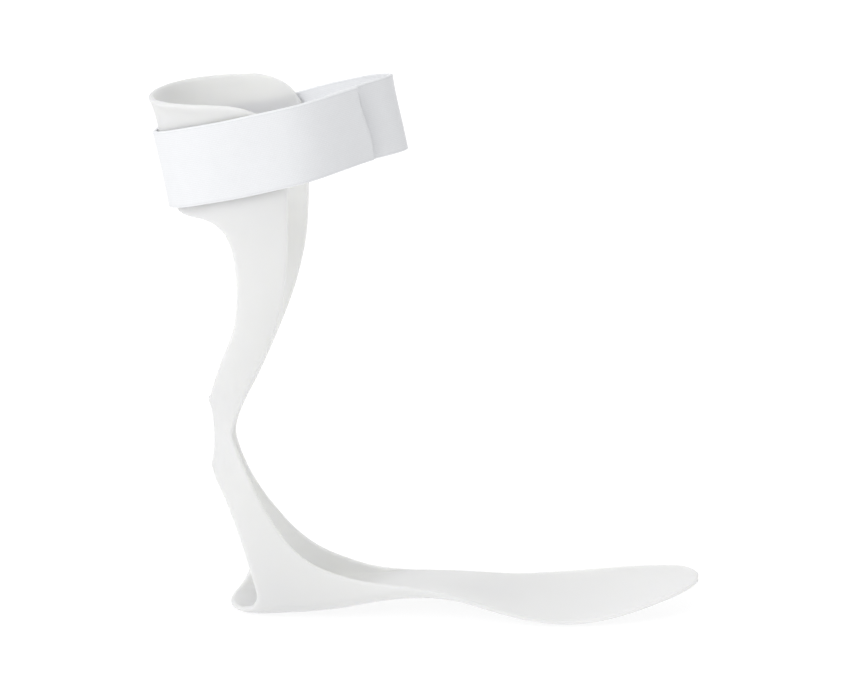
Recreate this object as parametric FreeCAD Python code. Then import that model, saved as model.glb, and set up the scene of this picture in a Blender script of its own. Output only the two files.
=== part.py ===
import FreeCAD, Part
import math, os

# Posterior leaf-spring ankle foot orthosis for a left foot, in millimetres.
# X runs from heel to toe, -Y is the medial side, Z is up, and the sole stands on z = 0.

THICK = 2.8          # wall of the moulded shell
THIN = 1.8           # wall of the toe plate
STRAP_W = 40.0       # strap width
STRAP_T = 2.0        # strap thickness
ANKLE = (-108.0, 95.0)   # x, z of the line the leaf spring bends about
CUT_R = 9.0          # radius of the round cut that parts foot and calf sections
CUT_GAP = 0.3        # clearance across that cut
MID_X, MID_Y = -0.667, -2.661   # centre of the outline, moved to the origin at the end
V = FreeCAD.Vector

# Stations of the shell's middle surface, from the cuff's top rim down the back, round the
# heel and along the sole to the toe. Each row: spine x, z; medial edge x, z; lateral edge
# x, z; medial and lateral half widths; the section's fullness k1, k2a, k2y; spine y.
STATIONS = [
    (-143.4, 275.8, -98.0, 276.6, -96.0, 278.4, 49.8, 50.2, 0.60, 0.30, 0.30, 1.03, -2.6),
    (-142.3, 273.6, -91.0, 275.6, -88.6, 277.2, 48.9, 49.2, 0.60, 0.30, 0.30, 1.03, -2.6),
    (-141.2, 270.6, -83.8, 273.2, -81.8, 274.6, 48.2, 48.4, 0.60, 0.30, 0.30, 1.03, -2.6),
    (-140.0, 266.2, -77.0, 268.6, -75.8, 269.8, 47.6, 47.7, 0.60, 0.30, 0.30, 1.04, -2.6),
    (-138.8, 260.5, -72.0, 262.0, -71.4, 262.8, 47.1, 47.1, 0.60, 0.30, 0.30, 1.04, -2.6),
    (-137.6, 253.5, -69.2, 254.2, -69.0, 254.4, 46.7, 46.7, 0.60, 0.30, 0.30, 1.04, -2.6),
    (-135.9, 245.0, -68.1, 245.0, -68.1, 245.0, 46.3, 46.3, 0.60, 0.30, 0.30, 1.04, -2.6),
    (-133.4, 235.0, -67.9, 235.0, -67.9, 235.0, 45.9, 45.9, 0.60, 0.30, 0.30, 1.04, -2.6),
    (-130.7, 225.0, -67.9, 225.0, -67.9, 225.0, 45.4, 45.4, 0.60, 0.30, 0.30, 1.04, -2.6),
    (-129.2, 215.0, -68.0, 215.0, -68.0, 215.0, 44.8, 44.8, 0.60, 0.30, 0.30, 1.04, -2.6),
    (-127.4, 204.0, -68.4, 204.0, -68.4, 204.0, 43.8, 43.8, 0.60, 0.31, 0.31, 1.04, -2.6),
    (-125.1, 192.0, -69.3, 192.0, -69.4, 192.0, 42.2, 42.2, 0.59, 0.32, 0.32, 1.04, -2.6),
    (-122.6, 179.0, -71.2, 179.0, -71.8, 179.0, 39.8, 39.8, 0.58, 0.33, 0.33, 1.03, -2.6),
    (-120.1, 166.0, -74.4, 166.0, -75.2, 166.0, 36.8, 36.8, 0.56, 0.34, 0.34, 1.02, -2.6),
    (-117.9, 153.0, -78.8, 153.0, -79.8, 153.0, 33.4, 33.4, 0.54, 0.36, 0.36, 1.00, -2.6),
    (-116.2, 140.0, -84.2, 140.0, -85.0, 140.0, 29.6, 29.6, 0.52, 0.37, 0.37, 0.97, -2.6),
    (-115.1, 128.0, -90.0, 128.0, -90.2, 128.0, 25.8, 25.8, 0.49, 0.37, 0.37, 0.93, -2.6),
    (-114.4, 117.0, -95.2, 117.0, -95.4, 117.0, 22.4, 22.4, 0.46, 0.36, 0.36, 0.88, -2.6),
    (-113.5, 107.0, -99.6, 107.2, -100.6, 107.0, 19.9, 19.9, 0.44, 0.34, 0.34, 0.82, -2.6),
    (-112.7, 98.5, -101.8, 99.4, -104.2, 98.4, 18.8, 18.8, 0.42, 0.32, 0.32, 0.77, -2.6),
    (-112.6, 90.5, -100.2, 92.4, -105.6, 90.4, 18.8, 18.8, 0.42, 0.32, 0.32, 0.77, -2.6),
    (-113.3, 82.0, -96.6, 83.6, -103.4, 81.0, 19.8, 19.8, 0.44, 0.34, 0.34, 0.82, -2.6),
    (-114.5, 72.5, -91.8, 73.6, -99.4, 70.2, 21.6, 21.4, 0.48, 0.36, 0.36, 0.90, -2.6),
    (-115.7, 61.5, -87.2, 64.4, -94.6, 60.4, 23.4, 23.2, 0.52, 0.36, 0.36, 0.96, -2.6),
    (-116.6, 49.5, -82.4, 56.6, -89.4, 52.0, 24.8, 24.6, 0.55, 0.36, 0.36, 1.00, -2.6),
    (-116.6, 37.0, -77.6, 49.4, -84.0, 44.6, 26.0, 25.8, 0.57, 0.36, 0.33, 1.02, -2.6),
    (-115.4, 24.5, -72.8, 43.0, -78.4, 37.8, 26.8, 26.6, 0.58, 0.36, 0.22, 1.03, -2.6),
    (-112.4, 12.5, -67.6, 37.6, -72.0, 31.4, 27.4, 27.2, 0.60, 0.37, 0.03, 1.04, -2.6),
    (-106.8, 3.2, -61.6, 33.0, -64.6, 25.6, 27.8, 27.8, 0.62, 0.38, -0.15, 1.05, -2.5),
    (-97.0, 1.3, -54.4, 29.2, -56.2, 20.8, 28.2, 28.4, 0.66, 0.37, -0.16, 1.05, -2.1),
    (-84.0, 1.2, -46.0, 26.0, -46.8, 16.7, 28.6, 29.2, 0.67, 0.34, -0.05, 1.05, -1.3),
    (-68.0, 1.3, -36.0, 23.4, -35.6, 12.6, 29.4, 30.2, 0.66, 0.33, 0.10, 1.03, -0.4),
    (-50.0, 2.4, -24.6, 21.6, -22.6, 10.0, 30.6, 31.4, 0.61, 0.38, 0.28, 0.98, 0.8),
    (-31.0, 5.4, -12.0, 20.4, -8.4, 8.7, 32.0, 32.8, 0.52, 0.46, 0.46, 0.92, 1.9),
    (-11.0, 8.3, 1.6, 18.3, 5.8, 7.2, 33.4, 34.4, 0.47, 0.54, 0.54, 0.87, 3.1),
    (9.0, 8.8, 15.8, 15.2, 20.4, 5.7, 34.8, 36.2, 0.44, 0.56, 0.56, 0.84, 4.4),
    (28.0, 6.5, 31.0, 10.7, 34.6, 4.4, 36.4, 38.0, 0.42, 0.50, 0.50, 0.82, 5.5),
    (45.0, 3.4, 46.0, 6.4, 48.0, 4.0, 37.8, 39.2, 0.42, 0.42, 0.42, 0.80, 6.6),
    (60.0, 1.4, 60.4, 3.5, 61.0, 4.8, 38.4, 39.8, 0.42, 0.36, 0.36, 0.79, 7.5),
    (74.0, 0.85, 74.0, 2.5, 74.0, 5.8, 38.2, 40.2, 0.42, 0.32, 0.32, 0.78, 8.3),
    (88.0, 1.7, 88.0, 3.4, 88.0, 7.0, 37.2, 39.8, 0.41, 0.31, 0.31, 0.77, 9.2),
    (101.0, 4.2, 101.0, 5.7, 101.0, 8.8, 34.8, 37.8, 0.40, 0.30, 0.30, 0.76, 10.0),
    (112.5, 7.2, 112.5, 8.5, 112.5, 10.7, 31.6, 34.2, 0.38, 0.30, 0.30, 0.74, 10.7),
    (122.4, 10.0, 122.4, 11.2, 122.4, 12.4, 27.6, 29.6, 0.36, 0.32, 0.32, 0.72, 11.3),
    (130.4, 12.2, 130.4, 13.2, 130.4, 14.2, 22.8, 24.2, 0.36, 0.32, 0.32, 0.70, 11.7),
    (136.4, 13.9, 136.4, 14.6, 136.4, 15.4, 17.2, 18.0, 0.34, 0.33, 0.33, 0.68, 12.0),
    (140.4, 14.9, 140.4, 15.3, 140.4, 16.0, 11.0, 11.4, 0.34, 0.33, 0.33, 0.68, 12.2),
    (142.6, 15.4, 142.6, 15.6, 142.6, 16.3, 5.0, 5.2, 0.34, 0.33, 0.33, 0.68, 12.3),
]

# Side-view trim lines of the two rear openings: the calf opening between the struts and the
# open heel. Each is the rear edge of the material beside the opening, as x, z.
CALF_EDGE = [(-112.0, 216.3), (-106.0, 214.6), (-101.0, 210.5), (-97.6, 203.0), (-96.0, 194.0),
             (-95.6, 185.0), (-95.8, 176.0), (-96.6, 168.0), (-98.2, 159.0), (-101.6, 149.8),
             (-106.0, 139.8), (-109.8, 129.6), (-112.9, 120.4), (-114.3, 115.4)]
HEEL_EDGE = [(-113.6, 76.8), (-111.9, 72.5), (-108.6, 67.6), (-105.0, 61.0), (-101.6, 53.0),
             (-98.4, 44.9), (-95.7, 36.6), (-93.2, 28.0), (-90.9, 20.0), (-89.3, 14.0),
             (-89.4, 10.0), (-91.0, 7.0), (-94.0, 4.6)]
HEEL_EDGE_LATERAL = [(-113.6, 76.8), (-112.1, 72.5), (-109.8, 66.5), (-107.3, 59.5),
                     (-104.8, 51.5), (-102.6, 43.0), (-100.8, 35.0), (-99.5, 27.0),
                     (-98.8, 19.0), (-99.4, 12.3), (-100.6, 9.7), (-101.7, 7.3),
                     (-103.2, 5.3), (-104.6, 4.0), (-106.1, 2.95), (-108.0, 1.9)]


def natural(values):
    """Second derivatives of the natural cubic spline through equally spaced values."""
    n = len(values)
    low, mid, right = [0.0] * n, [1.0] * n, [0.0] * n
    for i in range(1, n - 1):
        m = 4.0 - low[i - 1]
        low[i] = 1.0 / m
        mid[i] = m
        right[i] = (6 * (values[i + 1] - 2 * values[i] + values[i - 1]) - right[i - 1]) / m
    second = [0.0] * n
    for i in range(n - 2, 0, -1):
        second[i] = right[i] - low[i] * second[i + 1]
    return second


COLUMNS = [[row[c] for row in STATIONS] for c in range(len(STATIONS[0]))]
SECOND = [natural(c) for c in COLUMNS]
LAST = len(STATIONS) - 1


def station(s):
    """The thirteen numbers of the section at station s, which may lie between two rows."""
    i = max(0, min(LAST - 1, int(math.floor(s))))
    b = s - i
    a = 1.0 - b
    out = []
    for col, sec in zip(COLUMNS, SECOND):
        out.append(a * col[i] + b * col[i + 1]
                   + ((a ** 3 - a) * sec[i] + (b ** 3 - b) * sec[i + 1]) / 6.0)
    return out


def middle(s, t):
    """A point of the middle surface; t runs from -1, the medial edge, to 1, the lateral."""
    bx, bz, nx, nz, fx, fz, wn, wf, k1, k2x, k2z, k2y, yc = station(s)
    side, ex, ez, w = (-1.0, nx, nz, wn) if t < 0 else (1.0, fx, fz, wf)
    half = 0.5 * (wn + wf)
    u = abs(t)
    c0, c1, c2, c3 = (1 - u) ** 3, 3 * u * (1 - u) ** 2, 3 * u * u * (1 - u), u ** 3
    x = (c0 + c1) * bx + c2 * (bx + k2x * (ex - bx)) + c3 * ex
    z = (c0 + c1) * bz + c2 * (bz + k2z * (ez - bz)) + c3 * ez
    y = yc + side * (c1 * k1 * half + c2 * k2y * w + c3 * w)
    return V(x, y, z)


def normal(s, t):
    """The unit normal on the wearer's side: forward at the calf, up at the sole."""
    ds, dt = 0.01, 0.01
    s0, s1 = max(0.0, s - ds), min(float(LAST), s + ds)
    t0, t1 = max(-1.0, t - dt), min(1.0, t + dt)
    n = (middle(s1, t) - middle(s0, t)).cross(middle(s, t1) - middle(s, t0))
    n.normalize()
    return n


def half_wall(s):
    """Half the wall, which thins from the arch forward."""
    u = max(0.0, min(1.0, (s - 34.0) / 5.0))
    return (THICK - (THICK - THIN) * u * u * (3 - 2 * u)) / 2


def steps(a, b, n):
    return [a + (b - a) * i / (n - 1) for i in range(n)]


def face_of(grid):
    surface = Part.BSplineSurface()
    surface.interpolate(grid)
    return surface


def slab(outer, inner):
    """The solid between two grids of points that match."""
    a, b = face_of(outer), face_of(inner)
    faces = [a.toShape(), b.toShape()]
    u0, u1, v0, v1 = a.bounds()
    p0, p1, q0, q1 = b.bounds()
    pairs = [(a.uIso(u0), b.uIso(p0)), (a.uIso(u1), b.uIso(p1)),
             (a.vIso(v0), b.vIso(q0)), (a.vIso(v1), b.vIso(q1))]
    for c, d in pairs:
        faces.append(Part.makeRuledSurface(c.toShape(), d.toShape()))
    shell = Part.makeShell(faces)
    shell.sewShape()
    solid = Part.makeSolid(Part.Shell(shell.Faces))
    if solid.Volume < 0:
        solid.reverse()
    return solid


def shell_slab(rows, cols):
    """A solid on the middle surface; rows are stations and cols(s) the values of t there."""
    out, inn = [], []
    for s in rows:
        half = half_wall(s)
        ts = cols(s)
        out.append([middle(s, t) + normal(s, t) * half for t in ts])
        inn.append([middle(s, t) - normal(s, t) * half for t in ts])
    return slab(out, inn)


def beyond(x, z, edge):
    """Which side of a side-view trim line a point is on: positive in front of it."""
    best, sign = 1e9, 1.0
    for (ax, az), (cx, cz) in zip(edge, edge[1:]):
        dx, dz = cx - ax, cz - az
        u = max(0.0, min(1.0, ((x - ax) * dx + (z - az) * dz) / (dx * dx + dz * dz)))
        gap = math.hypot(x - ax - u * dx, z - az - u * dz)
        if gap < best - 1e-9:
            best, sign = gap, (x - ax) * -dz + (z - az) * dx
    return best if sign > 0 else -best


def crossing(s, side, edge):
    """The largest t, from 0 to 1, at which the section at s is still behind a trim line."""
    n = 60
    for i in range(n, 0, -1):
        p, q = middle(s, side * (i - 1) / n), middle(s, side * i / n)
        g, h = beyond(p.x, p.z, edge), beyond(q.x, q.z, edge)
        if g <= 0.0 < h:
            return (i - 1 + g / (g - h)) / n
    return 0.0


def plug(rows, medial, lateral, half=7.0):
    """The plug that clears a rear opening: rows are (station, least half width)."""
    out, inn = [], []
    for s, least in rows:
        a = max(least, crossing(s, -1, medial))
        b = max(least, crossing(s, 1, lateral))
        ts = [-a + (a + b) * i / 16.0 for i in range(17)]
        pts = [middle(s, t) for t in ts]
        nor = [normal(s, t) for t in ts]
        out.append([p + n * half for p, n in zip(pts, nor)])
        inn.append([p - n * 3.2 for p, n in zip(pts, nor)])
    return slab(out, inn)


# The strap's centre line, from the tail's free end round the back of the cuff to the layer
# that lies under the tail. Each row: x, y, z of the middle of its width and its lean.
STRAP = [
    (-31.0, -24.5, 264.6, 0.0, 0.0), (-40.5, -34.6, 262.8, 0.0, 0.0),
    (-52.0, -44.4, 260.2, 0.0, -0.02), (-65.0, -50.0, 257.0, 0.0, -0.04),
    (-81.0, -51.0, 253.2, -0.01, -0.05), (-97.5, -49.0, 249.4, -0.03, -0.06),
    (-112.5, -43.8, 245.6, -0.07, -0.08), (-125.0, -34.6, 242.0, -0.12, -0.08),
    (-134.6, -18.8, 238.8, -0.17, -0.05), (-137.7, 0.0, 237.0, -0.195, 0.0),
    (-134.4, 18.4, 238.0, -0.17, 0.05), (-125.0, 33.8, 239.8, -0.12, 0.08),
    (-112.5, 42.9, 241.6, -0.07, 0.08), (-97.5, 48.2, 243.6, -0.03, 0.06),
    (-81.0, 50.6, 246.2, -0.01, 0.05), (-65.0, 50.0, 250.4, 0.0, 0.04),
    (-52.0, 44.4, 255.0, 0.0, 0.02), (-40.5, 35.0, 258.8, 0.0, 0.0),
    (-29.7, 23.6, 262.4, -0.06, 0.0), (-20.6, 11.2, 265.4, -0.14, 0.0),
    (-16.2, 1.4, 267.0, -0.2, 0.0), (-19.6, -7.8, 266.4, -0.14, 0.0),
    (-28.6, -16.4, 264.9, -0.06, 0.0), (-38.2, -25.9, 263.0, 0.0, 0.0),
    (-47.6, -34.2, 260.9, 0.0, 0.0),
]
TAIL_ROOT, FRONT_ROOT = 3.0, 15.0
CALF_Y = -2.6
STRAP_COLS = [[row[c] for row in STRAP] for c in range(5)]
STRAP_SEC = [natural(c) for c in STRAP_COLS]


def strap_line(u):
    """Centre, width direction and outward normal of the strap at u."""
    def at(v):
        i = max(0, min(len(STRAP) - 2, int(math.floor(v))))
        b = v - i
        a = 1.0 - b
        return [a * c[i] + b * c[i + 1] + ((a ** 3 - a) * d[i] + (b ** 3 - b) * d[i + 1]) / 6.0
                for c, d in zip(STRAP_COLS, STRAP_SEC)]
    x, y, z, lx, ly = at(u)
    p, q = at(u - 0.02), at(u + 0.02)
    along = V(q[0] - p[0], q[1] - p[1], q[2] - p[2])
    along.normalize()
    up = V(lx, ly, 1.0)
    up = up - along * up.dot(along)
    up.normalize()
    out = up.cross(along)
    return V(x, y + CALF_Y, z), up, out


def band(u0, u1, n, low, high, near, far, cols=5):
    """A strap-like solid along the strap line, between two heights and two offsets."""
    grids = ([], [])
    for u in steps(u0, u1, n):
        c, up, out = strap_line(u)
        for grid, off in zip(grids, (far, near)):
            grid.append([c + up * v + out * off for v in steps(low, high, cols)])
    return slab(grids[0], grids[1])


def main():
    os.makedirs("parts", exist_ok=True)
    body = shell_slab(steps(0.0, float(LAST), 2 * LAST + 1), lambda s: steps(-1.0, 1.0, 25))
    calf_rows = [(8.87, 0.46), (8.9, 0.0), (8.95, 0.0)] + [(s, 0.0) for s in steps(9.05, 10.0, 9)]
    calf_rows += [(s, 0.0) for s in steps(10.4, 16.8, 17)] + [(17.0, 0.0), (17.15, 0.1), (17.24, 0.05)]
    heel_rows = [(21.6, 0.05), (21.66, 0.12)] + [(s, 0.0) for s in steps(21.8, 28.05, 26)]
    body = body.cut(plug(calf_rows, CALF_EDGE, CALF_EDGE))
    body = body.cut(plug(heel_rows, HEEL_EDGE, HEEL_EDGE_LATERAL))
    ground = Part.makeBox(500, 300, 20, V(-250, -150, -20))
    body = body.cut(ground)
    ax, az = ANKLE
    below = Part.makeBox(400, 200, az + 50, V(-200, -100, -50))
    roll = Part.makeCylinder(CUT_R, 160, V(ax, -80, az), V(0, 1, 0))
    ring = Part.makeCylinder(CUT_R + CUT_GAP, 160, V(ax, -80, az), V(0, 1, 0))
    foot = body.common(below.fuse(roll))
    calf = body.cut(below).cut(ring)
    w, t = STRAP_W / 2, STRAP_T / 2
    parts = {
        "foot_shell": foot,
        "calf_shell": calf,
        "strap_band": band(TAIL_ROOT + 0.01, FRONT_ROOT - 0.01, 49, -w, w, -t, t),
        "strap_front": band(FRONT_ROOT + 0.01, len(STRAP) - 1.0, 41, -w, w, -t, t),
        "strap_tail": band(0.0, TAIL_ROOT - 0.01, 17, -w, w, -t, t),
        "tail_hook": band(0.25, 1.6, 9, -w + 3, w - 3, -t - 1.2, -t - 0.1),
        "hook_patch_medial": band(4.4, 6.4, 9, -16, 9, -t - 1.2, -t - 0.1),
        "hook_patch_lateral": band(11.6, 13.6, 9, -13, 15, -t - 1.2, -t - 0.1),
    }
    for name, shape in parts.items():
        solid = shape if shape.ShapeType == "Solid" else shape.Solids[0]
        print(name, shape.ShapeType, len(shape.Solids), solid.isValid(), round(solid.Volume))
        solid.translate(V(-MID_X, -MID_Y, 0))
        solid.exportStep("parts/%s.step" % name)


main()
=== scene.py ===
import bmesh, bpy, math
import numpy as np
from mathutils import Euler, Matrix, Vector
from mathutils.geometry import delaunay_2d_cdt


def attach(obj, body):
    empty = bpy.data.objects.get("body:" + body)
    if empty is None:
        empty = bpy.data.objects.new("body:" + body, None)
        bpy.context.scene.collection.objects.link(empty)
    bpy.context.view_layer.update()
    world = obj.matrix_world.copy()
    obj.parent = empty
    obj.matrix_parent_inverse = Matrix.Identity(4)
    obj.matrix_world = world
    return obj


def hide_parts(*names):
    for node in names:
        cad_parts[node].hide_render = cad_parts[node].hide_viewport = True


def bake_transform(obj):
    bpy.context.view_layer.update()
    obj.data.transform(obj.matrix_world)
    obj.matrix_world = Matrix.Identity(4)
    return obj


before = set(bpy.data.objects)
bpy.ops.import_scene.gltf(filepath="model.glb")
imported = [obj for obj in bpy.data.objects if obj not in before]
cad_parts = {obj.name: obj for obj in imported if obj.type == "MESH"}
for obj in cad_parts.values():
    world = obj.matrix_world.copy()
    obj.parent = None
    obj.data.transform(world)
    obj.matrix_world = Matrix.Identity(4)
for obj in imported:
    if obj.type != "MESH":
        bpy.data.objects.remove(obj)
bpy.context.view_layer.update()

# Looks for a moulded leaf-spring ankle foot orthosis with a soft strap. Sizes are in
# millimetres until a mesh is made.
MID = np.array([-0.667, -2.661, 0.0])  # centre of the part's outline, on the floor
CALF_Y = -2.6  # the calf's middle plane
THICK, THIN = 2.8, 1.8  # the wall, and the wall at the toes
THIN_FROM, THIN_OVER = 34.0, 5.0  # the station where the wall starts to thin, and over how many
# The small lips where the two rear openings end: how proud, station, reach along and across.
LIPS = [(1.5, 17.32, 0.32, 0.25), (1.0, 21.58, 0.22, 0.30)]
SPACING = 2.6  # between the points of the shell's sheet
ROUNDING = np.radians([0, 28, 56, 90])  # the steps that round the shell's rims

# ---------------------------------------------------------------- the moulded shell's form
# Stations of the wall's middle surface, from the cuff's rim down the back, round the heel and
# along the sole: spine x, z; medial edge x, z; lateral edge x, z; medial and lateral half
# widths; four numbers for the section's fullness; the section's middle y.
STATIONS = [
    (-143.4, 275.8, -98.0, 276.6, -96.0, 278.4, 49.8, 50.2, 0.60, 0.30, 0.30, 1.03, -2.6),
    (-142.3, 273.6, -91.0, 275.6, -88.6, 277.2, 48.9, 49.2, 0.60, 0.30, 0.30, 1.03, -2.6),
    (-141.2, 270.6, -83.8, 273.2, -81.8, 274.6, 48.2, 48.4, 0.60, 0.30, 0.30, 1.03, -2.6),
    (-140.0, 266.2, -77.0, 268.6, -75.8, 269.8, 47.6, 47.7, 0.60, 0.30, 0.30, 1.04, -2.6),
    (-138.8, 260.5, -72.0, 262.0, -71.4, 262.8, 47.1, 47.1, 0.60, 0.30, 0.30, 1.04, -2.6),
    (-137.6, 253.5, -69.2, 254.2, -69.0, 254.4, 46.7, 46.7, 0.60, 0.30, 0.30, 1.04, -2.6),
    (-135.9, 245.0, -68.1, 245.0, -68.1, 245.0, 46.3, 46.3, 0.60, 0.30, 0.30, 1.04, -2.6),
    (-133.4, 235.0, -67.9, 235.0, -67.9, 235.0, 45.9, 45.9, 0.60, 0.30, 0.30, 1.04, -2.6),
    (-130.7, 225.0, -67.9, 225.0, -67.9, 225.0, 45.4, 45.4, 0.60, 0.30, 0.30, 1.04, -2.6),
    (-129.2, 215.0, -68.0, 215.0, -68.0, 215.0, 44.8, 44.8, 0.60, 0.30, 0.30, 1.04, -2.6),
    (-127.4, 204.0, -68.4, 204.0, -68.4, 204.0, 43.8, 43.8, 0.60, 0.31, 0.31, 1.04, -2.6),
    (-125.1, 192.0, -69.3, 192.0, -69.4, 192.0, 42.2, 42.2, 0.59, 0.32, 0.32, 1.04, -2.6),
    (-122.6, 179.0, -71.2, 179.0, -71.8, 179.0, 39.8, 39.8, 0.58, 0.33, 0.33, 1.03, -2.6),
    (-120.1, 166.0, -74.4, 166.0, -75.2, 166.0, 36.8, 36.8, 0.56, 0.34, 0.34, 1.02, -2.6),
    (-117.9, 153.0, -78.8, 153.0, -79.8, 153.0, 33.4, 33.4, 0.54, 0.36, 0.36, 1.00, -2.6),
    (-116.2, 140.0, -84.2, 140.0, -85.0, 140.0, 29.6, 29.6, 0.52, 0.37, 0.37, 0.97, -2.6),
    (-115.1, 128.0, -90.0, 128.0, -90.2, 128.0, 25.8, 25.8, 0.49, 0.37, 0.37, 0.93, -2.6),
    (-114.4, 117.0, -95.2, 117.0, -95.4, 117.0, 22.4, 22.4, 0.46, 0.36, 0.36, 0.88, -2.6),
    (-113.5, 107.0, -99.6, 107.2, -100.6, 107.0, 19.9, 19.9, 0.44, 0.34, 0.34, 0.82, -2.6),
    (-112.7, 98.5, -101.8, 99.4, -104.2, 98.4, 18.8, 18.8, 0.42, 0.32, 0.32, 0.77, -2.6),
    (-112.6, 90.5, -100.2, 92.4, -105.6, 90.4, 18.8, 18.8, 0.42, 0.32, 0.32, 0.77, -2.6),
    (-113.3, 82.0, -96.6, 83.6, -103.4, 81.0, 19.8, 19.8, 0.44, 0.34, 0.34, 0.82, -2.6),
    (-114.5, 72.5, -91.8, 73.6, -99.4, 70.2, 21.6, 21.4, 0.48, 0.36, 0.36, 0.90, -2.6),
    (-115.7, 61.5, -87.2, 64.4, -94.6, 60.4, 23.4, 23.2, 0.52, 0.36, 0.36, 0.96, -2.6),
    (-116.6, 49.5, -82.4, 56.6, -89.4, 52.0, 24.8, 24.6, 0.55, 0.36, 0.36, 1.00, -2.6),
    (-116.6, 37.0, -77.6, 49.4, -84.0, 44.6, 26.0, 25.8, 0.57, 0.36, 0.33, 1.02, -2.6),
    (-115.4, 24.5, -72.8, 43.0, -78.4, 37.8, 26.8, 26.6, 0.58, 0.36, 0.22, 1.03, -2.6),
    (-112.4, 12.5, -67.6, 37.6, -72.0, 31.4, 27.4, 27.2, 0.60, 0.37, 0.03, 1.04, -2.6),
    (-106.8, 3.2, -61.6, 33.0, -64.6, 25.6, 27.8, 27.8, 0.62, 0.38, -0.15, 1.05, -2.5),
    (-97.0, 1.3, -54.4, 29.2, -56.2, 20.8, 28.2, 28.4, 0.66, 0.37, -0.16, 1.05, -2.1),
    (-84.0, 1.2, -46.0, 26.0, -46.8, 16.7, 28.6, 29.2, 0.67, 0.34, -0.05, 1.05, -1.3),
    (-68.0, 1.3, -36.0, 23.4, -35.6, 12.6, 29.4, 30.2, 0.66, 0.33, 0.10, 1.03, -0.4),
    (-50.0, 2.4, -24.6, 21.6, -22.6, 10.0, 30.6, 31.4, 0.61, 0.38, 0.28, 0.98, 0.8),
    (-31.0, 5.4, -12.0, 20.4, -8.4, 8.7, 32.0, 32.8, 0.52, 0.46, 0.46, 0.92, 1.9),
    (-11.0, 8.3, 1.6, 18.3, 5.8, 7.2, 33.4, 34.4, 0.47, 0.54, 0.54, 0.87, 3.1),
    (9.0, 8.8, 15.8, 15.2, 20.4, 5.7, 34.8, 36.2, 0.44, 0.56, 0.56, 0.84, 4.4),
    (28.0, 6.5, 31.0, 10.7, 34.6, 4.4, 36.4, 38.0, 0.42, 0.50, 0.50, 0.82, 5.5),
    (45.0, 3.4, 46.0, 6.4, 48.0, 4.0, 37.8, 39.2, 0.42, 0.42, 0.42, 0.80, 6.6),
    (60.0, 1.4, 60.4, 3.5, 61.0, 4.8, 38.4, 39.8, 0.42, 0.36, 0.36, 0.79, 7.5),
    (74.0, 0.85, 74.0, 2.5, 74.0, 5.8, 38.2, 40.2, 0.42, 0.32, 0.32, 0.78, 8.3),
    (88.0, 1.7, 88.0, 3.4, 88.0, 7.0, 37.2, 39.8, 0.41, 0.31, 0.31, 0.77, 9.2),
    (101.0, 4.2, 101.0, 5.7, 101.0, 8.8, 34.8, 37.8, 0.40, 0.30, 0.30, 0.76, 10.0),
    (112.5, 7.2, 112.5, 8.5, 112.5, 10.7, 31.6, 34.2, 0.38, 0.30, 0.30, 0.74, 10.7),
    (122.4, 10.0, 122.4, 11.2, 122.4, 12.4, 27.6, 29.6, 0.36, 0.32, 0.32, 0.72, 11.3),
    (130.4, 12.2, 130.4, 13.2, 130.4, 14.2, 22.8, 24.2, 0.36, 0.32, 0.32, 0.70, 11.7),
    (136.4, 13.9, 136.4, 14.6, 136.4, 15.4, 17.2, 18.0, 0.34, 0.33, 0.33, 0.68, 12.0),
    (140.4, 14.9, 140.4, 15.3, 140.4, 16.0, 11.0, 11.4, 0.34, 0.33, 0.33, 0.68, 12.2),
    (142.6, 15.4, 142.6, 15.6, 142.6, 16.3, 5.0, 5.2, 0.34, 0.33, 0.33, 0.68, 12.3),
]

# Side-view trim lines of the two rear openings, as x, z.
CALF_EDGE = [(-112.0, 216.3), (-106.0, 214.6), (-101.0, 210.5), (-97.6, 203.0), (-96.0, 194.0),
             (-95.6, 185.0), (-95.8, 176.0), (-96.6, 168.0), (-98.2, 159.0), (-101.6, 149.8),
             (-106.0, 139.8), (-109.8, 129.6), (-112.9, 120.4), (-114.3, 115.4)]
HEEL_EDGE = [(-113.6, 76.8), (-111.9, 72.5), (-108.6, 67.6), (-105.0, 61.0), (-101.6, 53.0),
             (-98.4, 44.9), (-95.7, 36.6), (-93.2, 28.0), (-90.9, 20.0), (-89.3, 14.0),
             (-89.4, 10.0), (-91.0, 7.0), (-94.0, 4.6)]
HEEL_EDGE_LATERAL = [(-113.6, 76.8), (-112.1, 72.5), (-109.8, 66.5), (-107.3, 59.5),
                     (-104.8, 51.5), (-102.6, 43.0), (-100.8, 35.0), (-99.5, 27.0),
                     (-98.8, 19.0), (-99.4, 12.3), (-100.6, 9.7), (-101.7, 7.3),
                     (-103.2, 5.3), (-104.6, 4.0), (-106.1, 2.95), (-108.0, 1.9)]

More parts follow.
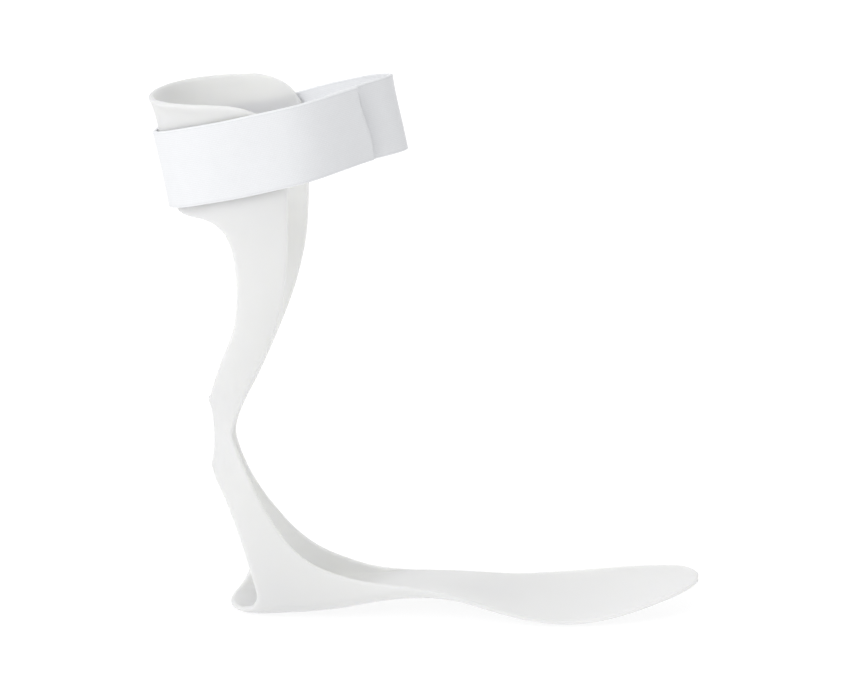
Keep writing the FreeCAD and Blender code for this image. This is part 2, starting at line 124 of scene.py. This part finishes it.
# The strap's line from its free end, round the back and back under that end: x, y, z, and how
# far the band leans in x and y.
STRAP = [
    (-31.0, -24.5, 264.6, 0.0, 0.0), (-40.5, -34.6, 262.8, 0.0, 0.0),
    (-52.0, -44.4, 260.2, 0.0, -0.02), (-65.0, -50.0, 257.0, 0.0, -0.04),
    (-81.0, -51.0, 253.2, -0.01, -0.05), (-97.5, -49.0, 249.4, -0.03, -0.06),
    (-112.5, -43.8, 245.6, -0.07, -0.08), (-125.0, -34.6, 242.0, -0.12, -0.08),
    (-134.6, -18.8, 238.8, -0.17, -0.05), (-137.7, 0.0, 237.0, -0.195, 0.0),
    (-134.4, 18.4, 238.0, -0.17, 0.05), (-125.0, 33.8, 239.8, -0.12, 0.08),
    (-112.5, 42.9, 241.6, -0.07, 0.08), (-97.5, 48.2, 243.6, -0.03, 0.06),
    (-81.0, 50.6, 246.2, -0.01, 0.05), (-65.0, 50.0, 250.4, 0.0, 0.04),
    (-52.0, 44.4, 255.0, 0.0, 0.02), (-40.5, 35.0, 258.8, 0.0, 0.0),
    (-29.7, 23.6, 262.4, -0.06, 0.0), (-20.6, 11.2, 265.4, -0.14, 0.0),
    (-16.2, 1.4, 267.0, -0.2, 0.0), (-19.6, -7.8, 266.4, -0.14, 0.0),
    (-28.6, -16.4, 264.9, -0.06, 0.0), (-38.2, -25.9, 263.0, 0.0, 0.0),
    (-47.6, -34.2, 260.9, 0.0, 0.0),
]

# Rows of the two rear openings: station, and the least half width there as a part of t.
CALF_ROWS = [(8.87, 0.46), (8.9, 0.0), (8.95, 0.0)]
CALF_ROWS += [(s, 0.0) for s in np.linspace(9.05, 16.8, 60)]
CALF_ROWS += [(17.0, 0.0), (17.15, 0.1), (17.24, 0.05)]
HEEL_ROWS = [(21.6, 0.05), (21.66, 0.12)] + [(s, 0.0) for s in np.linspace(21.8, 28.05, 60)]


def natural(col):
    """Second derivatives of the natural cubic spline through equally spaced values."""
    n = len(col)
    m = np.zeros((n, n))
    r = np.zeros(n)
    m[0, 0] = m[-1, -1] = 1.0
    for i in range(1, n - 1):
        m[i, i - 1:i + 2] = 1.0, 4.0, 1.0
        r[i] = 6 * (col[i + 1] - 2 * col[i] + col[i - 1])
    return np.linalg.solve(m, r)


class Spline:
    """Natural cubic splines through the columns of a table, at 0, 1, 2 and so on."""
    def __init__(self, rows):
        self.v = np.array(rows, float)
        self.d = np.stack([natural(c) for c in self.v.T], 1)

    def __call__(self, s):
        s = np.asarray(s, float)
        i = np.clip(np.floor(s).astype(int), 0, len(self.v) - 2)
        b = (s - i)[..., None]
        a = 1 - b
        return (a * self.v[i] + b * self.v[i + 1]
                + ((a ** 3 - a) * self.d[i] + (b ** 3 - b) * self.d[i + 1]) / 6)


section = Spline(STATIONS)
LAST = len(STATIONS) - 1


def middle(s, t):
    """Points of the middle surface: t is -1 on the medial edge and 1 on the lateral edge."""
    s, t = np.broadcast_arrays(np.asarray(s, float), np.asarray(t, float))
    (spine_x, spine_z, medial_x, medial_z, lateral_x, lateral_z, medial_w, lateral_w,
     k1, k2x, k2z, k2y, mid_y) = np.moveaxis(section(s), -1, 0)
    medial = t < 0
    side = np.where(medial, -1.0, 1.0)
    edge_x = np.where(medial, medial_x, lateral_x)
    edge_z = np.where(medial, medial_z, lateral_z)
    width = np.where(medial, medial_w, lateral_w)
    half, u = 0.5 * (medial_w + lateral_w), np.abs(t)
    c0, c1, c2, c3 = (1 - u) ** 3, 3 * u * (1 - u) ** 2, 3 * u * u * (1 - u), u ** 3
    x = (c0 + c1) * spine_x + c2 * (spine_x + k2x * (edge_x - spine_x)) + c3 * edge_x
    z = (c0 + c1) * spine_z + c2 * (spine_z + k2z * (edge_z - spine_z)) + c3 * edge_z
    y = mid_y + side * (c1 * k1 * half + c2 * k2y * width + c3 * width)
    for proud, station, along, across in LIPS:
        x = x - proud * np.exp(-((s - station) / along) ** 2 - (t / across) ** 2)
    return np.stack([x, y, z], -1)


def slopes(s, t):
    """How the middle surface moves with s and with t."""
    h = 0.01
    s0, s1 = np.clip(s - h, 0, LAST), np.clip(s + h, 0, LAST)
    t0, t1 = np.clip(t - h, -1, 1), np.clip(t + h, -1, 1)
    ds = (middle(s1, t) - middle(s0, t)) / (s1 - s0)[..., None]
    dt = (middle(s, t1) - middle(s, t0)) / (t1 - t0)[..., None]
    return ds, dt


def unit(v):
    return v / np.maximum(np.linalg.norm(v, axis=-1, keepdims=True), 1e-12)


def half_wall(s):
    """Half the wall, which thins from the arch forward."""
    u = np.clip((s - THIN_FROM) / THIN_OVER, 0, 1)
    return (THICK - (THICK - THIN) * u * u * (3 - 2 * u)) / 2


def beyond(p, edge):
    """Signed distance from a side-view trim line, positive in front of it."""
    e = np.array(edge, float)
    a, d = e[:-1], e[1:] - e[:-1]
    q = p[..., None, :] - a
    u = np.clip((q * d).sum(-1) / (d * d).sum(-1), 0, 1)
    gap = np.linalg.norm(q - u[..., None] * d, axis=-1)
    sign = np.sign(q[..., 0] * -d[:, 1] + q[..., 1] * d[:, 0])
    nearest = gap.argmin(-1)[..., None]
    gap, sign = (np.take_along_axis(m, nearest, -1)[..., 0] for m in (gap, sign))
    return gap * np.where(sign == 0, 1, sign)


def crossing(s, side, edge, n=400):
    """Where a section last crosses a trim line, as a part of t."""
    u = np.linspace(0, 1, n + 1)
    g = beyond(middle(np.full(n + 1, float(s)), side * u)[:, [0, 2]], edge)
    hit = np.nonzero((g[:-1] <= 0) & (g[1:] > 0))[0]
    if not len(hit):
        return 0.0
    i = hit[-1]
    return (i + g[i] / (g[i] - g[i + 1])) / n


def hole(rows, medial, lateral, n=30):
    """A rear opening's rim as a closed run of (s, t), from its rows and trim lines."""
    near = [(s, -max(least, crossing(s, -1, medial))) for s, least in rows]
    far = [(s, max(least, crossing(s, 1, lateral))) for s, least in rows]
    first, last = rows[0][0], rows[-1][0]
    top = [(first, t) for t in np.linspace(near[0][1], far[0][1], n)[1:-1]]
    low = [(last, t) for t in np.linspace(far[-1][1], near[-1][1], n)[1:-1]]
    return np.array(near[::-1] + top + far + low)


def outline():
    """The sheet's own edge as a closed run of (s, t)."""
    s = np.linspace(0, LAST, 1200)
    t = np.linspace(-1, 1, 120)
    return np.vstack([np.stack([s, -np.ones_like(s)], 1)[:-1],
                      np.stack([np.full_like(t, LAST), t], 1)[:-1],
                      np.stack([s[::-1], np.ones_like(s)], 1)[:-1],
                      np.stack([np.zeros_like(t), t[::-1]], 1)[:-1]])


def evened(loop, step, rounds):
    """A closed run of (s, t) spaced evenly on the surface, its corners softened."""
    for k in range(rounds + 1):
        closed = np.vstack([loop, loop[:1]])
        p = middle(closed[:, 0], closed[:, 1])
        run = np.concatenate([[0], np.cumsum(np.linalg.norm(np.diff(p, axis=0), axis=1))])
        n = int(round(run[-1] / step))
        at = np.linspace(0, run[-1], n, endpoint=False)
        loop = np.stack([np.interp(at, run, closed[:, j]) for j in (0, 1)], 1)
        if k < rounds:
            loop = 0.5 * loop + 0.25 * (np.roll(loop, 1, 0) + np.roll(loop, -1, 0))
    return loop


# The surface laid flat: distance along the spine, and across from it.
ROWS, COLS = 900, 240
SPINE = COLS // 2
GS, GT = np.linspace(0, LAST, ROWS), np.linspace(-1, 1, COLS + 1)
GP = middle(GS[:, None], GT[None, :])
ALONG = np.concatenate([[0], np.cumsum(np.linalg.norm(np.diff(GP[:, SPINE], axis=0), axis=1))])
ACROSS = np.concatenate([np.zeros((ROWS, 1)),
                         np.cumsum(np.linalg.norm(np.diff(GP, axis=1), axis=2), axis=1)], 1)
ACROSS -= ACROSS[:, SPINE:SPINE + 1]


def across_at(s):
    """Distances across from the spine at stations s, for every column."""
    i = np.clip((s / LAST * (ROWS - 1)).astype(int), 0, ROWS - 2)
    f = (s / LAST * (ROWS - 1) - i)[:, None]
    return ACROSS[i] * (1 - f) + ACROSS[i + 1] * f


def flat(st):
    """The laid-flat places of points (s, t)."""
    u = np.interp(st[:, 0], GS, ALONG)
    rows = across_at(st[:, 0])
    j = np.clip(((st[:, 1] + 1) / 2 * COLS).astype(int), 0, COLS - 1)
    f = (st[:, 1] + 1) / 2 * COLS - j
    k = np.arange(len(st))
    return np.stack([u, rows[k, j] * (1 - f) + rows[k, j + 1] * f], 1)


def inside(p, poly, batch=4000):
    """Whether 2-D points are inside a closed polygon."""
    a, b = poly, np.roll(poly, -1, 0)
    out = np.zeros(len(p), bool)
    for k in range(0, len(p), batch):
        q = p[k:k + batch, None]
        over = (a[None, :, 1] > q[..., 1]) != (b[None, :, 1] > q[..., 1])
        with np.errstate(divide="ignore", invalid="ignore"):
            x = (b[:, 0] - a[:, 0]) * (q[..., 1] - a[:, 1]) / (b[:, 1] - a[:, 1]) + a[:, 0]
        out[k:k + batch] = (over & (q[..., 0] < x)).sum(1) % 2 == 1
    return out


def on_sheet(st):
    return np.clip(st, [0, -1], [LAST, 1])


def way_in(loop, sheet_within):
    """For each point of a rim, the step in (s, t) that goes a millimetre into the sheet."""
    p = middle(loop[:, 0], loop[:, 1])
    ds, dt = slopes(loop[:, 0], loop[:, 1])
    along = unit(np.roll(p, -1, 0) - np.roll(p, 1, 0))
    inward = unit(np.cross(unit(np.cross(ds, dt)), along))
    g, h = (inward * ds).sum(1), (inward * dt).sum(1)
    a, b, c = (ds * ds).sum(1), (ds * dt).sum(1), (dt * dt).sum(1)
    det = a * c - b * b
    step = np.stack([(c * g - b * h) / det, (a * h - b * g) / det], 1)
    within = inside((loop + step * 0.5)[::9], loop).mean() > 0.5
    return step if within == sheet_within else -step


def filling():
    """Staggered rows of points over the whole sheet."""
    rows = []
    for i, u in enumerate(np.linspace(0, ALONG[-1], int(ALONG[-1] / SPACING))):
        s = np.interp(u, ALONG, GS)
        across = across_at(np.array([s]))[0]
        m = int((across[-1] - across[0]) / SPACING)
        at = across[0] + (np.arange(m) + (0.5 if i % 2 else 0.0)) * (across[-1] - across[0]) / m
        rows.append(np.stack([np.full(m, s), np.interp(at, across, GT)], 1))
    return np.vstack(rows)


def triangles(st, edges, rims):
    """Triangles between points (s, t), within the first rim and outside the others."""
    co, _, tri, orig, _, _ = delaunay_2d_cdt([Vector(v) for v in flat(st)], edges, [], 0, 1e-5, True)
    tri = np.array([t for t in tri if len(t) == 3])
    co = np.array([tuple(v) for v in co])
    back = np.array([o[0] if len(o) else -1 for o in orig])
    mid = co[tri].mean(1)
    ok = inside(mid, rims[0]) & ~inside(mid, rims[1]) & ~inside(mid, rims[2])
    tri = back[tri[ok]]
    tri = tri[(tri >= 0).all(1)]
    return tri[(tri[:, 0] != tri[:, 1]) & (tri[:, 1] != tri[:, 2]) & (tri[:, 0] != tri[:, 2])]


def mesh_of(name, verts, faces):
    m = bpy.data.meshes.new(name)
    m.from_pydata((np.asarray(verts) / 1000.0).tolist(), [], [list(map(int, f)) for f in faces])
    m.validate()
    m.shade_smooth()
    o = bpy.data.objects.new(name, m)
    bpy.context.scene.collection.objects.link(o)
    return o


def drop_loose(o):
    """Deletes the vertices of a mesh that no face uses."""
    bm = bmesh.new()
    bm.from_mesh(o.data)
    bmesh.ops.delete(bm, geom=[v for v in bm.verts if not v.link_faces], context="VERTS")
    bm.to_mesh(o.data)
    bm.free()


def make_shell():
    """The shell: one sheet with two rear openings, its walls offset and its rims rounded."""
    loops = [evened(outline(), 1.1, 2),
             evened(hole(CALF_ROWS, CALF_EDGE, CALF_EDGE), 0.9, 3),
             evened(hole(HEEL_ROWS, HEEL_EDGE, HEEL_EDGE_LATERAL), 0.9, 3)]
    st, depth, edges, rims, margins = [], [], [], [], []
    for loop in loops:
        step = way_in(loop, not rims)
        rim = half_wall(loop[:, 0])
        for turn in ROUNDING:
            if turn in (ROUNDING[0], ROUNDING[-1]):
                ids = np.arange(len(loop)) + sum(len(x) for x in st)
                edges += list(zip(ids.tolist(), np.roll(ids, -1).tolist()))
            st.append(on_sheet(loop + step * (rim * (1 - math.cos(turn)))[:, None]))
            depth.append(rim * math.sin(turn))
        rims.append(flat(loop))
        margins.append(flat(on_sheet(loop + step * (THICK / 2 + 0.9))))
    inner = filling()
    q = flat(inner)
    inner = inner[inside(q, margins[0]) & ~inside(q, margins[1]) & ~inside(q, margins[2])]
    st = np.vstack(st + [inner])
    depth = np.concatenate(depth + [half_wall(inner[:, 0])])
    tri = triangles(st, edges, rims)

    p = middle(st[:, 0], st[:, 1])
    n = unit(np.cross(*slopes(st[:, 0], st[:, 1])))
    upper, under = p + n * depth[:, None], p - n * depth[:, None]
    upper[:, 2] = np.maximum(upper[:, 2], 0.0)
    # the very edge of a rim is shared by both sides
    number = np.arange(len(p)) + len(p)
    shared = depth < 1e-6
    number[shared] = np.arange(len(p))[shared]
    verts = np.vstack([upper, under]) - MID
    a, b, c = verts[tri[:, 0]], verts[tri[:, 1]], verts[tri[:, 2]]
    facing = (np.cross(b - a, c - a) * n[tri[:, 0]]).sum(1)
    tri[facing < 0] = tri[facing < 0][:, ::-1]
    o = mesh_of("moulded_shell", verts, np.vstack([tri, number[tri][:, ::-1]]))
    drop_loose(o)
    return o


shell = make_shell()
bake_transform(shell)
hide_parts("foot_shell", "calf_shell")

# ---------------------------------------------------------------- the strap and its pads
STRAP_W, STRAP_T = 20.0, 1.0  # half the strap's width and thickness
HOOK_NEAR, HOOK_FAR = -STRAP_T - 1.2, -STRAP_T - 0.1  # hook tape, on the strap's inner face
RIPPLE = 0.16
BAND_STEP, BAND_ACROSS = 1.3, 1.25  # between a band's points, along and across it
EDGE_R = 0.55  # how far in a band's long edges are rounded
ROUNDED_END, PLAIN_END = np.array([0, 0.18, 0.55, 1.2]), np.array([0, 0.1])
UNREACHED = 9.0  # stands for the distance to an end that isn't rounded
SLANT_OVER = 30  # the length over which a slanted end straightens out

strap_at = Spline(STRAP)
# length along the strap's line, from the tail's free end
STRAP_U = np.linspace(0, len(STRAP) - 1, 6001)
STRAP_STEPS = np.linalg.norm(np.diff(strap_at(STRAP_U)[:, :3], axis=0), axis=1)
STRAP_RUN = np.concatenate([[0], np.cumsum(STRAP_STEPS)])


def strap_frame(u):
    """Points of the strap's line, and the ways up, out and along there."""
    p = strap_at(u)
    along = unit(strap_at(u + 0.02)[:, :3] - strap_at(u - 0.02)[:, :3])
    up = np.stack([p[:, 3], p[:, 4], np.ones(len(p))], 1)
    up = unit(up - along * (up * along).sum(1, keepdims=True))
    return p[:, :3] + [0, CALF_Y, 0], up, np.cross(up, along), along


def band_section(low, high, half):
    """A band's section: its outer face, round an edge, its inner face and round the other edge."""
    across = np.linspace(low + EDGE_R, high - EDGE_R, int((high - low) / BAND_ACROSS))
    turns = np.radians(np.linspace(90, -90, 7))[1:-1]
    sec = [(v, half) for v in across]
    sec += [(high - EDGE_R + EDGE_R * math.cos(k), half * math.sin(k)) for k in turns]
    sec += [(v, -half) for v in across[::-1]]
    sec += [(low + EDGE_R - EDGE_R * math.cos(k), -half * math.sin(k)) for k in turns]
    return np.array(sec)


def rippled(run, off, v, wave):
    """Slow ripples in and out of a band, and a slight wander up and down."""
    off = off + wave * (np.sin(run * 0.09 + v * 0.11) + 0.6 * np.sin(run * 0.21 - v * 0.16 + 1.3))
    return off, v + wave * 0.8 * np.sin(run * 0.13 + 0.7)


def band(name, u0, u1, low, high, near, far, corner=0.0, wave=0.0, ends=(True, True), slant=0.0):
    """A flat band along the strap's line, low to high across it and near to far through it. Its
    corners can be rounded, its faces rippled and its first end cut aslant. An end that isn't
    rounded meets the next length of band."""
    first, last = np.interp([u0, u1], STRAP_U, STRAP_RUN)
    n = max(6, int((last - first) / BAND_STEP))
    lead = ROUNDED_END if ends[0] else PLAIN_END
    tail = last - first - (ROUNDED_END if ends[1] else PLAIN_END)[::-1]
    at = np.concatenate([lead, np.linspace(lead[-1], tail[0], n)[1:-1], tail])
    c, up, out, along = strap_frame(np.interp(first + at, STRAP_RUN, STRAP_U))
    sec = band_section(low, high, (far - near) / 2)
    mid_off, mid_v = (far + near) / 2, (low + high) / 2

    end = np.minimum(at if ends[0] else UNREACHED + at,
                     at[-1] - at if ends[1] else UNREACHED + at[-1] - at)
    thin = np.sqrt(np.clip(1 - (1 - np.clip(end / ROUNDED_END[-1], 0, 1)) ** 2, 0.02, 1))
    trim = np.zeros(len(at))
    if corner:
        d = np.clip(1 - end / corner, 0, 1)
        trim = corner * (1 - np.sqrt(1 - d * d))
    verts = []
    for k in range(len(at)):
        v = mid_v + (sec[:, 0] - mid_v) * (1 - trim[k] / ((high - low) / 2))
        off = mid_off + sec[:, 1] * thin[k]
        if wave:
            off, v = rippled(first + at[k], off, v, wave)
        fade = max(0, 1 - at[k] / SLANT_OVER) ** 2
        pull = slant * (0.2 - np.tanh((sec[:, 0] - 1.0) / 11.0)) * fade
        verts.append(c[k] + up[k] * v[:, None] + out[k] * off[:, None] - along[k] * pull[:, None])

    ns = len(sec)
    faces = []
    for k in range(len(at) - 1):
        for j in range(ns):
            a0, a1 = k * ns + j, k * ns + (j + 1) % ns
            faces.append((a0, a0 + ns, a1 + ns, a1))
    faces.append(tuple(range(ns)))
    faces.append(tuple(reversed(range((len(at) - 1) * ns, len(at) * ns))))
    o = mesh_of(name, np.vstack(verts) - MID, faces)

    # lengths along and across the band, for its weave
    uv = o.data.uv_layers.new(name="weave")
    lengths, widths = np.repeat(at, ns), np.tile(sec[:, 0], len(at))
    idx = np.zeros(len(o.data.loops), int)
    o.data.loops.foreach_get("vertex_index", idx)
    both = np.stack([(first + lengths[idx]) / 1000.0, widths[idx] / 1000.0], 1)
    uv.data.foreach_set("uv", both.astype(np.float32).ravel())
    # the shading of a plain end stops at its end face
    joined = [k for k, rounded in zip((0, len(at) - 1), ends) if not rounded]
    for e in o.data.edges:
        k0, k1 = e.vertices[0] // ns, e.vertices[1] // ns
        if k0 == k1 and k0 in joined:
            e.use_edge_sharp = True
    return o


def on_line(u):
    """A point of the strap's line, in metres."""
    return tuple((strap_frame(np.array([float(u)]))[0][0] - MID) / 1000.0)


medial = band("strap_medial_and_tail", 0.0, 9.0, -STRAP_W, STRAP_W, -STRAP_T, STRAP_T,
              wave=RIPPLE, ends=(True, False), slant=3.6)
lateral = band("strap_lateral_and_front", 9.0, 24.0, -STRAP_W, STRAP_W, -STRAP_T, STRAP_T,
               wave=RIPPLE, ends=(False, True))
hook = band("tail_hook_tab", 0.25, 1.6, -STRAP_W + 3, STRAP_W - 3, HOOK_NEAR, HOOK_FAR, corner=3.0)
pad_m = band("hook_patch_medial_pad", 4.4, 6.4, -16, 9, HOOK_NEAR, HOOK_FAR, corner=5.0)
pad_l = band("hook_patch_lateral_pad", 11.6, 13.6, -13, 15, HOOK_NEAR, HOOK_FAR, corner=5.0)

on_line(3.7)
on_line(2.3)
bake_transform(medial)
on_line(14.3)
on_line(15.7)
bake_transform(lateral)
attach(hook, "tail")
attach(pad_m, "calf")
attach(pad_l, "calf")
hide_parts("strap_band", "strap_tail")
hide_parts("strap_front")
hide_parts("tail_hook")
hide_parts("hook_patch_medial")
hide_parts("hook_patch_lateral")


# ---------------------------------------------------------------- materials
class Nodes:
    """A node material and short ways to add to it."""
    def __init__(self, name):
        self.m = bpy.data.materials.new(name)
        self.m.use_nodes = True
        self.t = self.m.node_tree
        self.b = self.t.nodes["Principled BSDF"]

    def add(self, kind, **values):
        """A node; in_Some_Name sets an input and any other name sets an attribute."""
        n = self.t.nodes.new(kind)
        for k, v in values.items():
            if k.startswith("in_"):
                n.inputs[k[3:].replace("_", " ")].default_value = v
            else:
                setattr(n, k, v)
        return n

    def link(self, a, b):
        self.t.links.new(a, b)

    def noise(self, at, scale, detail, roughness=0.5):
        n = self.add("ShaderNodeTexNoise", in_Scale=scale, in_Detail=detail, in_Roughness=roughness)
        self.link(at.outputs["Object"], n.inputs["Vector"])
        return n.outputs["Fac"]

    def bands(self, uv, way, scale, distortion):
        n = self.add("ShaderNodeTexWave", wave_type="BANDS", bands_direction=way, in_Scale=scale,
                     in_Distortion=distortion, in_Detail=2.0)
        self.link(uv.outputs["UV"], n.inputs["Vector"])
        return n.outputs["Fac"]

    def ramp(self, value, stops):
        r = self.add("ShaderNodeValToRGB")
        e = r.color_ramp.elements
        while len(e) < len(stops):
            e.new(0.5)
        for k, (pos, col) in zip(e, stops):
            k.position = pos
            k.color = (*col, 1)
        self.link(value, r.inputs["Fac"])
        return r.outputs["Color"]

    def times(self, a, b):
        """Two colours multiplied."""
        n = self.add("ShaderNodeMix", data_type="RGBA", blend_type="MULTIPLY")
        n.inputs["Factor"].default_value = 1.0
        self.link(a, n.inputs["A"])
        self.link(b, n.inputs["B"])
        return n.outputs["Result"]

    def bumps(self, *layers):
        """Bumps one over the other, each a height, a strength and a distance in metres."""
        last = None
        for height, strength, distance in layers:
            n = self.add("ShaderNodeBump", in_Strength=strength, in_Distance=distance)
            self.link(height, n.inputs["Height"])
            if last:
                self.link(last.outputs["Normal"], n.inputs["Normal"])
            last = n
        self.link(last.outputs["Normal"], self.b.inputs["Normal"])
        return last

    def set(self, **values):
        for k, v in values.items():
            self.b.inputs[k.replace("_", " ")].default_value = v


def grey(v):
    return (v, v, v)


def plastic():
    """Natural polypropylene: milky and satin, with slight flow marks."""
    n = Nodes("milky_polypropylene")
    at = n.add("ShaderNodeTexCoord")
    cloud = n.noise(at, 14.0, 3.0)
    n.link(n.ramp(cloud, [(0.3, (0.640, 0.642, 0.650)), (0.7, (0.660, 0.662, 0.670))]),
           n.b.inputs["Base Color"])
    n.link(n.ramp(cloud, [(0.3, grey(0.40)), (0.7, grey(0.47))]), n.b.inputs["Roughness"])
    n.bumps((n.noise(at, 30.0, 1.0), 0.12, 0.0006), (n.noise(at, 900.0, 2.0, 0.6), 0.05, 0.0002))
    n.set(IOR=1.49, Subsurface_Weight=0.85, Subsurface_Scale=0.008,
          Subsurface_Radius=(1.0, 1.0, 0.9))
    return n.m


def loop_cloth(name, tint):
    """Brushed loop tape: a soft pile over fine woven ribs, with firm narrow selvedges that carry a
    painted highlight and a thin painted shade line inside.
    """
    n = Nodes(name)
    uv = n.add("ShaderNodeUVMap", uv_map="weave")
    at = n.add("ShaderNodeTexCoord")
    fuzz = n.noise(at, 1900.0, 4.0, 0.75)
    soft = n.noise(at, 160.0, 4.0, 0.6)
    weave = n.add("ShaderNodeMath", operation="MULTIPLY")
    n.link(n.bands(uv, "Y", 330.0, 2.0), weave.inputs[0])
    n.link(n.bands(uv, "X", 420.0, 3.0), weave.inputs[1])
    pile = n.add("ShaderNodeMix", data_type="FLOAT")
    pile.inputs["Factor"].default_value = 0.35
    n.link(fuzz, pile.inputs["A"])
    n.link(weave.outputs["Value"], pile.inputs["B"])
    pile = pile.outputs["Result"]
    light = tuple(min(1.0, c * 1.03) for c in tint)
    dark = tuple(c * 0.93 for c in tint)
    cloudy = n.times(n.ramp(pile, [(0.25, dark), (0.7, light)]),
                     n.ramp(soft, [(0.35, grey(0.985)), (0.65, grey(1))]))
    # a painted highlight on each rounded selvedge, with a thin painted shade line just inside it
    sep = n.add("ShaderNodeSeparateXYZ")
    n.link(uv.outputs["UV"], sep.inputs["Vector"])
    edge = n.add("ShaderNodeMath", operation="ABSOLUTE")
    n.link(sep.outputs["Y"], edge.inputs[0])
    span = n.add("ShaderNodeMapRange", in_From_Min=0.0170, in_From_Max=0.0200)
    n.link(edge.outputs["Value"], span.inputs["Value"])
    line = n.ramp(span.outputs["Result"], [(0.45, grey(1)), (0.58, (0.955, 0.955, 0.96)),
                                           (0.70, grey(0.97)), (0.80, grey(1.04))])
    # the cloth's tone times the painted edge highlight and painted shade line
    n.link(n.times(cloudy, line), n.b.inputs["Base Color"])
    n.bumps((pile, 0.22, 0.0003), (soft, 0.08, 0.0008))
    n.set(Roughness=0.95, Specular_IOR_Level=0.2, Sheen_Weight=0.3, Sheen_Roughness=0.5)
    return n.m


def hook_tape():
    """Moulded hook tape: rows of tiny hooks on a flat backing."""
    n = Nodes("hook_tape")
    uv = n.add("ShaderNodeUVMap", uv_map="weave")
    dots = n.add("ShaderNodeTexVoronoi", in_Scale=900.0, in_Randomness=0.35)
    n.link(uv.outputs["UV"], dots.inputs["Vector"])
    n.link(n.ramp(dots.outputs["Distance"], [(0.1, (0.9, 0.9, 0.91)), (0.6, (0.7, 0.71, 0.73))]),
           n.b.inputs["Base Color"])
    n.bumps((dots.outputs["Distance"], 0.8, 0.0006)).invert = True
    n.set(Roughness=0.55)
    return n.m


def studio_white():
    n = Nodes("studio_white")
    cloud = n.add("ShaderNodeTexNoise", in_Scale=3.0)
    n.link(n.ramp(cloud.outputs["Fac"], [(0.3, grey(0.275)), (0.7, grey(0.285))]),
           n.b.inputs["Base Color"])
    n.set(Roughness=0.9, Specular_IOR_Level=0.1, Emission_Color=(1, 1, 1, 1), Emission_Strength=0.77)
    return n.m


def dress(o, m):
    o.data.materials.clear()
    o.data.materials.append(m)


shell_plastic = plastic()
cloth = loop_cloth("brushed_loop_strap", (0.825, 0.835, 0.855))
tape = hook_tape()
dress(shell, shell_plastic)
for o in (medial, lateral):
    dress(o, cloth)
for o in (hook, pad_m, pad_l):
    dress(o, tape)
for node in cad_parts.values():
    dress(node, tape if "hook" in node.name else cloth if "strap" in node.name else shell_plastic)

# ---------------------------------------------------------------- floor, light and camera
# The floor is a tenth of a millimetre low, clear of the sole's flat patches.
bpy.ops.mesh.primitive_grid_add(x_subdivisions=8, y_subdivisions=8, size=16, location=(0, 3, -0.0001))
floor = bpy.context.object
floor.name = "studio_floor"
dress(floor, studio_white())

world = bpy.data.worlds.new("studio")
bpy.context.scene.world = world
world.use_nodes = True
sky = world.node_tree.nodes["Background"]
sky.inputs["Color"].default_value = (1, 1, 1, 1)
sky.inputs["Strength"].default_value = 0.62


def area(name, at, aim, size, power):
    """A rectangular light at a place in metres, aimed at another, of a size and a power in watts."""
    d = bpy.data.lights.new(name, "AREA")
    d.shape, d.size, d.size_y, d.energy = "RECTANGLE", size[0], size[1], power
    o = bpy.data.objects.new(name, d)
    bpy.context.scene.collection.objects.link(o)
    o.location = at
    o.rotation_euler = (Vector(aim) - Vector(at)).to_track_quat("-Z", "Y").to_euler()
    return o


area("key_left", (-2.2, -2.5, 2.5), (-0.05, 0, 0.15), (2.8, 2.8), 76)
area("overhead", (0.1, 0.9, 4.2), (0.0, 0, 0.1), (3.5, 3.0), 24)
glow = area("back_glow", (0.1, 2.6, 0.7), (-0.03, 0, 0.11), (2.4, 1.2), 42)
glow.visible_glossy = False

cam = bpy.data.cameras.new("camera")
cam.lens, cam.sensor_width = 125.3, 36.0
eye = bpy.data.objects.new("camera", cam)
bpy.context.scene.collection.objects.link(eye)
eye.location = (0.1199, -1.5127, 0.517)
eye.rotation_euler = Euler((math.radians(90 - 13.9), 0, math.radians(4.5)))
bpy.context.scene.camera = eye
bpy.context.scene.view_settings.view_transform = "Standard"
